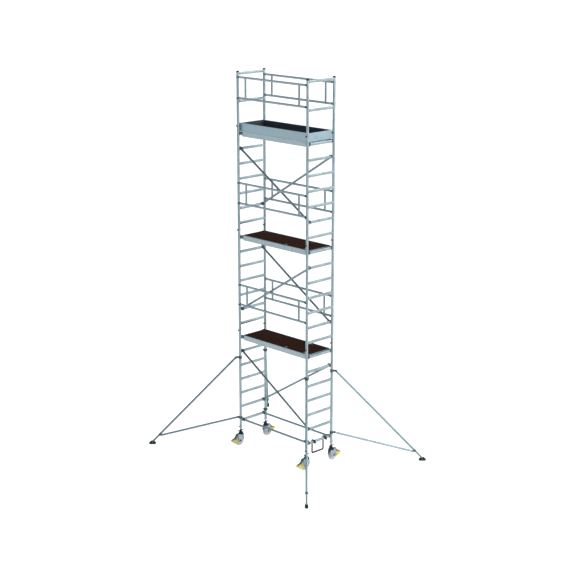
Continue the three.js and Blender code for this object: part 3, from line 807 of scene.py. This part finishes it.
def toe_boards():
    pairs = ((SIDES, X, 291, (879, 880, 878)), (ENDS, Y, 891, (302, 303, 300)))
    for places, along, middle, halves in pairs:
        for side, word in places:
            build(f"toe_board_{word}.board", toe_board(side, along, middle, halves))
    fittings = Shape()
    for x in BOTH:
        for y in BOTH:
            post = rectangle(x * 868, y * 281, x * 881.6, y * 301.4)
            (x0, y0), (x1, y1) = np.min(post, axis=0), np.max(post, axis=0)
            fittings.block((x0, y0, TOE_LOW + 1), (x1, y1, TOE_HIGH - 2), ZINC, 1.5, Z)
            plate = rectangle(x * 836, y * 299.5, x * 872, y * 302.2)
            fittings.slab(plate, "xy", TOE_LOW + 22, TOE_LOW + 128, ZINC, 0.8, Z)
            for z in (TOE_LOW + 36, TOE_LOW + 114):
                fittings.rivet((x * 848, y * 302, z), y * Y, 4, 2, ZINC)
                fittings.rivet((x * 900, y * 285, z), x * X, 4, 2, ZINC)
    build("toe_board_corner_fittings", fittings)


# -------- stirrup step
def stirrup():
    """A bent bar with a ribbed tread, hung from the lowest right-hand rung by two straps."""
    shape = Shape()
    x, z, bend = 858.0, FIRST_RUNG - 235, 17.0
    y0, y1 = 7 - 147.0, 7 + 147.0
    path = [vec(x, y0, FIRST_RUNG + 8)]
    path += arc(vec(x, y0 + bend, z + bend), bend, 180, 270, Y, Z)
    path += arc(vec(x, y1 - bend, z + bend), bend, 270, 360, Y, Z)
    path += [vec(x, y1, FIRST_RUNG + 8)]
    shape.pipe(path, 14, STEP_COAT_AND_SHADE, 20)
    tread = rectangle(y0 + 46, z - 11, y1 - 46, z + 11, 3)
    shape.slab(tread, "yz", x - 15, x + 15, STEP_COAT_AND_SHADE, 2, Y)
    for k in range(9):
        y = y0 + 58 + k * 22
        shape.block((x - 11, y - 3, z + 9), (x + 11, y + 3, z + 13), STEP_COAT_AND_SHADE, 0.8, Y)
    strap = [
        (-52, -16), (-HOOK_SIDE, -16), (-HOOK_SIDE, HOOK_ROOF), (HOOK_SIDE, HOOK_ROOF),
        (HOOK_SIDE, -30), (38, -30), (38, 26), (30, 34), (-44, 34), (-52, 26),
    ]
    for y in (y0, y1):
        outline = rounded([(END_X + a, FIRST_RUNG + b) for a, b in strap], 4)
        shape.slab(outline, "xz", y - 14.5, y + 14.5, STEP_COAT_AND_SHADE, 1.6, X)
        shape.pin((END_X, y, FIRST_RUNG - 28), X, 10, 44, 3, 10)
        profile = [(6, 0), (13, 2), (14.5, 8), (13, 15), (7, 18)]
        shape.lathe(profile, (END_X + 37, y, FIRST_RUNG - 14), X, BLACK, 20)
    build("stirrup_step.bar", shape)


# -------- castors
# Drawn from the swivel axis at the floor, with the wheel and the pedal trailing towards +Y.
def castor_stem():
    """A cone over the fork, a wing nut, and a threaded stem that goes up into an upright."""
    shape = Shape()
    cone = [(30, 236.6), (43, 237), (44, 240), (42.5, 246), (37, 258), (29, 270), (24.5, 275), (21, 277)]
    shape.lathe(cone, (0, 0, 0), Z, STEP_COAT_AND_SHADE, 32)
    thread = [(13, 270)]
    for k in range(17):
        low = 272 + 6.2 * k
        thread += [(16, low), (16, low + 2), (13.4, low + 3.4), (13.4, low + 4.8)]
    thread += [(16, 380), (16, 646), (13, 650)]
    shape.lathe(thread, (0, 0, 0), Z, ZINC, 20)
    nut = [(18, 283.5), (22, 284), (23, 287), (23, 300), (20.5, 306), (17, 308)]
    shape.lathe(nut, (0, 0, 0), Z, STEP_COAT_AND_SHADE, 28)
    wing = [(18, 285), (34, 287), (56, 284), (68, 286), (70, 293), (66, 302), (52, 302), (34, 299)]
    wing += [(18, 302)]
    nub = [(3, -9), (7, -7.5), (9, -3), (9, 3), (7, 7.5), (3, 9)]
    for side in BOTH:
        outline = rounded([(side * y, z) for y, z in wing], 4, 3)
        shape.slab(outline, "yz", -7, 7, STEP_COAT_AND_SHADE, 2.2)
        shape.lathe(nub, (0, side * 61, 293), Z, STEP_COAT_AND_SHADE, 18)
    return shape


def castor_fork():
    """Two cheeks and a near-black web below a turntable, with the axle and the pedal's pin across them;
    the web's dark coat is painted shade.
    """
    shape = Shape()
    cheek = [
        (-46, 228), (-58, 128), (-48, 106), (-6, 84), (30, 76), (60, 76), (80, 94), (92, 176),
        (106, 186), (108, 210), (96, 228),
    ]
    for side in BOTH:
        shape.slab(rounded(cheek, 8, 4), "yz", *span(side, 31, 36), ZINC, 1, Y)
        axle = (side * 35.5, WHEEL_TRAIL, WHEEL_R)
        shape.bolt(axle, side * X, 9, 6, BLACK)
        shape.bolt((side * 35.5, *PEDAL_PIN), side * X, 5, 5.5)
        shape.lathe([(19, 0), (19, 2), (16, 3.5)], axle, side * X, BLACK, 24)
        fold = [(-42, 214), (-53, 130), (-44, 112), (-6, 91), (30, 83)]
        shape.pipe([(side * 36, y, z) for y, z in fold], 1.8, ZINC, 8)
    # The web's near-black coat is painted shade on the fork's front.
    web = [(-46, 228), (-53.2, 168), (-49.7, 168), (-42, 228)]
    shape.slab(rounded(web, 1, 1), "yz", -35, 35, STEP_COAT_AND_SHADE, 0.8, Z)
    for z in (182, 204):
        y = -46.6 - 0.12 * (228 - z)
        shape.slab(rectangle(-24, z - 4, 24, z + 4, 3), "xz", y - 1.4, y + 2, DARK, 0.6, X)
    shape.pin((0, WHEEL_TRAIL, WHEEL_R), X, -37, 37, 8, 16)
    shape.pin((0, *PEDAL_PIN), X, -37, 37, 4, 12, 0.6)
    shape.slab(rectangle(-35.5, -45, 35.5, 77, 10, 4), "xy", 218, 228, ZINC, 1.6, Y)
    disc = [(40, 212), (50, 213), (54, 216), (54, 224), (52, 229), (47, 232), (44, 235.6), (20, 236)]
    shape.lathe(disc, (0, 0, 0), Z, STEP_COAT_AND_SHADE, 40)
    return shape


def castor_wheel():
    """A moulded wheel about the X axis, at the origin, with eight ribs on each face."""
    shape = Shape()
    web = [(17, 27), (29, 26.5), (30, 24), (33, 14), (80, 13), (86, 17), (88, 24)]
    tread = [(92, 24.5), (97, 23), (99.2, 20), (99.9, 14), (99.9, 6), (98.6, 5), (98.6, 0)]
    half = [(9, 27)] + web + tread
    profile = [(r, -h) for r, h in half] + half[-2::-1]
    shape.lathe(profile, (0, 0, 0), X, NYLON, 48, loop=True, wear=0.6)
    for k in range(8):
        angle = math.radians(45 * k + 10)
        out = vec(0, math.cos(angle), math.sin(angle))
        tangent = vec(0, -math.sin(angle), math.cos(angle))
        for face in BOTH:
            section = [(-3, 11), (3, 11), (2.2, 21), (-2.2, 21)]
            rings = [
                out * r + np.array([tangent * a + X * face * b * s for a, b in section])
                for r, s in ((27, 1.0), (56, 0.82), (86, 0.9))
            ]
            shape.loft(rings, NYLON, out)
    return shape


def castor_pedal():
    """A dark lever with a roller at its pivot and a yellow foot plate, whose cheeks brake."""
    shape = Shape()
    lever = [(90, 207), (104, 213), (122, 204), (168, 161), (214, 145), (206, 130), (160, 138)]
    lever += [(104, 184)]
    shape.slab(rounded(lever, 5), "yz", -20, 20, DARK, 1.6, Y)
    shape.pin((0, 109, 209), X, -26.5, 26.5, 16, 24, 2.5, DARK)
    shape.pin((0, *PEDAL_PIN), X, -27, 27, 8, 16)
    plate = [(176, 158), (246, 131.6), (249.6, 121.6), (240, 117), (178, 140)]
    shape.slab(rounded(plate, 4), "yz", -27, 27, YELLOW, 1.6, Y)
    foot = [(182, 142), (246, 129), (249, 121.6), (196, 87), (158, 51)]
    axle = vec(WHEEL_TRAIL, WHEEL_R)
    over_tyre = arc(axle, WHEEL_R + 6, -25, 34, *np.eye(2), 9)
    over_web = arc(axle, 64, -30, 44, *np.eye(2), 11)
    core = foot + over_tyre + [(150, 140)]
    shape.slab(inset(anticlockwise(core), 4), "yz", -25.6, 25.6, YELLOW, 1, Y)
    cheek = rounded(foot + over_web + [(122, 148), (150, 142)], 5)
    for side in BOTH:
        shape.slab(cheek, "yz", *span(side, 25.4, 29), YELLOW, 1, Y)
    slope = unit(vec(70, -26.4))
    for k in range(4):
        y, z = vec(184, 155.4) + slope * 16 * k
        shape.block((-24, y - 3.5, z - 5), (24, y + 3.5, z + 1.6), DARK, 1.2, X)
    return shape


def castors():
    parts = [
        ("stem", castor_stem(), "zinc_plate", (0, 0)),
        ("fork", castor_fork(), "zinc_plate", (0, 0)),
        ("wheel", castor_wheel(), "wheel_tyre", (WHEEL_TRAIL, WHEEL_R)),
        ("pedal", castor_pedal(), "pedal_yellow", (0, 0)),
    ]
    for corner, end, side in CORNERS:
        for word, shape, slot, (trail, height) in parts:
            name = f"castor_{word}_{corner}"
            place = (end * END_X, side * (SIDE_Y + trail), height)
            build(name + ".body", shape, name, place, 0 if side > 0 else 180)


# -------- outriggers
# Drawn in the X-Z plane from the upright's axis at the floor, reaching out towards +X.
ELBOW = vec(80, 0, UPPER_CLAMP - 4)
FOOT = vec(1730, 0, 42)
TUBE_AXIS = unit(FOOT - ELBOW)
TUBE_LENGTH = 2200.0


def along_tube(distance):
    return ELBOW + TUBE_AXIS * distance


def coupler(shape, z, reach):
    """A hinged clamp round an upright, closed by a bolt with a wing nut."""
    for a0, a1 in ((-84, 84), (96, 264)):
        half = sector(25.6, 34.5, a0, a1, 20)
        shape.slab(rounded(half, 1.5, 1), "xy", z - 25, z + 25, DARK, 2)
    for y in (-35, 35):
        shape.pin((0, y, z), Z, -22, 22, 6, 16, look=DARK)
        shape.rivet((0, y, z + 22), Z, 4, 2)
    for dz in (-11, 11):
        rib = sector(33, 36, -80, 80, 20)
        shape.slab(rib, "xy", z + dz - 3, z + dz + 3, DARK, 0.6)
    shape.pin((0, 40, z), X, -26, 18, 4.5)
    shape.lathe([(9, 0), (9, 4), (7, 9), (5, 11)], (12, 40, z), X, STEEL, 18)
    wing = [(14, 33), (24, 26), (29, 30), (24, 40), (29, 50), (24, 54), (14, 47)]
    shape.slab(rounded(wing, 3), "xy", z - 2.5, z + 2.5, STEEL, 0.8)
    shape.slab(rectangle(28, -15, reach, 15, 3), "xy", z - 16, z + 16, DARK, 2)


def outrigger_frame():
    """The long tube, the strut below it, and the ears, bolts and collar that hold them."""
    tubes, fittings = Shape(), Shape()
    tubes.tube(along_tube(14), along_tube(TUBE_LENGTH), 21, STAY, 28, 1.2, (18.4, 470.0), "b")
    clip = along_tube(TUBE_LENGTH - 40)
    strut_end = clip + vec(-12, 0, -34)
    tubes.tube((62.0, 0, LOWER_CLAMP), strut_end, 20, ALUMINIUM, 28, 1.2)
    coupler(fittings, UPPER_CLAMP, 92)
    coupler(fittings, LOWER_CLAMP, 64)
    ear = rounded(shifted([(70, 14), (98, 6), (112, -26), (92, -42), (66, -22)], 0, UPPER_CLAMP), 6, 3)
    foot = rounded(shifted([(44, 17), (72, 21), (86, 3), (76, -15), (44, -17)], 0, LOWER_CLAMP), 6, 3)
    ear_z, foot_z = UPPER_CLAMP - 12, LOWER_CLAMP + 2
    for side in BOTH:
        fittings.slab(ear, "xz", *span(side, 21, 25), DARK, 1)
        fittings.bolt((88, side * 25, ear_z), side * Y, 8, 6)
        fittings.slab(foot, "xz", *span(side, 19.5, 23), DARK, 1)
        fittings.bolt((68, side * 23, foot_z), side * Y, 7, 5.5)
    fittings.pin((88, 0, ear_z), Y, -26, 26, 6, 14, 0.8)
    fittings.pin((68, 0, foot_z), Y, -23, 23, 5, 14, 0.8)
    collar = along_tube(TUBE_LENGTH - 26)
    fittings.pin(collar, TUBE_AXIS, -22, 24, 23.4, 28, 2, DARK)
    plate = rounded(shifted([(-22, -40), (2, -40), (16, 2), (-18, 6)], clip[0], clip[2]), 6, 3)
    for side in BOTH:
        fittings.slab(plate, "xz", *span(side, 19.5, 23.2), DARK, 1)
        fittings.bolt(strut_end + vec(-2, side * 23, -1), side * Y, 7, 5)
    fittings.pin(collar, Y, -32, 34, 4.2)
    fittings.ring(collar + Y * 36 + Z * -12, Y + X * 0.4, 12, 1.6, STEEL, 20, 6)
    fittings.lathe([(8, 0), (8, 5), (6, 7)], collar - Y * 27, -Y, BLACK, 16)
    cap = [(20.6, 0), (21.4, 2), (21.4, 8), (18, 11), (8, 12)]
    fittings.lathe(cap, along_tube(14), -TUBE_AXIS, BLACK, 28)
    return tubes, fittings


def outrigger_leg():
    """The inner tube with its row of holes, and the rubber foot that it stands on."""
    leg, shoe = Shape(), Shape()
    radius = 17.8
    leg.tube(along_tube(TUBE_LENGTH - 450), FOOT, radius, LEG, 28, 1)
    down = np.cross(TUBE_AXIS, Y)
    for k in range(4):
        hole = along_tube(TUBE_LENGTH + 24 + 38 * k) + down * (radius - 0.1)
        leg.lathe([(3.6, -2), (3.6, 0.35), (2, 0.4)], hole, down, BLACK, 12)
    x, _, z = FOOT
    pad = rectangle(x - 64, -30, x + 64, 30, 10, 4)
    shoe.slab(pad, "xy", 0, 14, RUBBER, 2, X)
    half = [(65, 11), (67.5, 26), (44, 43.5), (20, 61.5)]
    cup = [(-65, 11), *half, (-20, 61.5), (-44, 43.5), (-67.5, 26)]
    outline = rounded(shifted(cup, x, 0), 8, 3)
    for side in BOTH:
        shoe.slab(outline, "xz", *span(side, 17.5, 28), RUBBER, 2, X)
        shoe.bolt((x, side * 23.5, z), side * Y, 7, 6)
    for way in BOTH:
        end = rectangle(x + way * 66, -28, x + way * 34, 28, 6, 3)
        shoe.slab(end, "xy", 11, 26, RUBBER, 2, X)
    shoe.pin((x, 0, z), Y, -29, 29, 6.5, 16)
    for k in range(-3, 4):
        tread = x + 18 * k
        shoe.block((tread - 3, -29.4, 0.3), (tread + 3, 29.4, 5), RUBBER, 0.8, Y)
    return leg, shoe


def outriggers():
    tubes, fittings = outrigger_frame()
    leg, shoe = outrigger_leg()
    pieces = [
        ("frame", "tubes", tubes, "aluminium_tube", "outrigger_"),
        ("frame", "clamps", fittings, "dark_steel", "outrigger_"),
        ("leg", "tube", leg, "outrigger_leg", "outrigger_leg_"),
        ("leg", "shoe", shoe, "dark_steel", "outrigger_leg_"),
    ]
    for corner, end, side in CORNERS:
        place = (end * END_X, side * SIDE_Y, 0)
        turn = math.degrees(math.atan2(side, end))
        for part, word, shape, slot, body in pieces:
            build(f"outrigger_{part}_{corner}.{word}", shape, body + corner, place, turn)


# -------- the studio
def aimed(name, data, place, target):
    """A lamp or camera at one point that looks at another, in metres."""
    made = bpy.data.objects.new(name, data)
    made.location = place
    made.rotation_mode = "QUATERNION"
    made.rotation_quaternion = (Vector(target) - made.location).to_track_quat("-Z", "Y")
    bpy.context.scene.collection.objects.link(made)
    return made


def studio():
    """A pale floor, a soft key light from the right, and a sky that is darker to the front left."""
    size = 260.0
    mesh = bpy.data.meshes.new("floor")
    corners = [(-size, -size, 0), (size, -size, 0), (size, size, 0), (-size, size, 0)]
    mesh.from_pydata(corners, [], [(0, 1, 2, 3)])
    floor = bpy.data.objects.new("floor", mesh)
    floor.location.z = -0.0005
    floor.visible_glossy = False
    bpy.context.scene.collection.objects.link(floor)
    material, tree, shader = start("pale_floor")
    shader.inputs["Base Color"].default_value = rgb((0.93, 0.93, 0.93))
    shader.inputs["Roughness"].default_value = 0.9
    shader.inputs["Specular IOR Level"].default_value = 0.1
    shader.inputs["Emission Color"].default_value = rgb((1, 1, 1))
    glow = combine(tree, "MULTIPLY", ray(tree, "Camera"), 0.8)
    tree.links.new(glow, shader.inputs["Emission Strength"])
    mesh.materials.append(material)

    world = bpy.data.worlds.new("studio")
    bpy.context.scene.world = world
    world.use_nodes = True
    tree = world.node_tree
    tree.nodes.clear()
    way = node(tree, "TexCoord").outputs["Generated"]

    def towards(*axis):
        """How far a direction leans along an axis."""
        dot = node(tree, "VectorMath", {0: way, 1: axis}, operation="DOT_PRODUCT")
        return dot.outputs["Value"]

    light = combine(tree, "ADD", towards(0.20, -0.07, 0.0), 0.478)
    patches = [  # the direction, how near to it a patch starts and is full, and its strength
        ("ADD", (0, 0, -1), 0.05, 0.5, 0.16),
        ("SUBTRACT", (0.35, -0.85, 0.40), 0.55, 0.9, 0.43),
        ("ADD", (-0.68, -0.66, -0.32), 0.8, 1.0, 0.2),
        ("SUBTRACT", (0.10, -0.40, 0.91), 0.75, 0.95, 0.16),
    ]
    for operation, axis, near, full, strength in patches:
        patch = spread(tree, towards(*axis), near, full, 0.0, strength)
        light = combine(tree, operation, light, patch)
    light = combine(tree, "MAXIMUM", light, 0.03)
    cool, warm = rgb((0.90, 0.99, 1.05)), rgb((1.0, 0.99, 0.97))
    tint = blend(tree, spread(tree, light, 0.2, 0.7), cool, warm)
    lift = combine(tree, "ADD", combine(tree, "MULTIPLY", ray(tree, "Diffuse"), 0.4), 1.0)
    strength = combine(tree, "MULTIPLY", light, lift)
    lit = node(tree, "Background", {"Color": tint, "Strength": strength})
    seen = node(tree, "Background", {"Color": rgb((1, 1, 1)), "Strength": 1.0})
    to_camera = ray(tree, "Camera")
    mixed = node(tree, "MixShader", {0: to_camera, 1: lit.outputs[0], 2: seen.outputs[0]})
    node(tree, "OutputWorld", {"Surface": mixed.outputs[0]})

    lamp = bpy.data.lights.new("key", "AREA")
    lamp.shape = "RECTANGLE"
    lamp.size = lamp.size_y = 12.0
    lamp.energy = 1300.0
    aimed("key", lamp, (15.0, 3.0, 13.0), (0, 0, 3.2))


def camera():
    data = bpy.data.cameras.new("camera")
    data.sensor_width, data.lens, data.clip_end = 36.0, 88.3, 900.0
    place, target = (18.218, -17.788, 10.108), (0.072, 0.0, 3.281)
    bpy.context.scene.camera = aimed("camera", data, place, target)
    bpy.context.scene.view_settings.view_transform = "Standard"


camera()
studio()
ladder_frames()
braces()
side_guards()
platforms()
toe_boards()
stirrup()
castors()
outriggers()
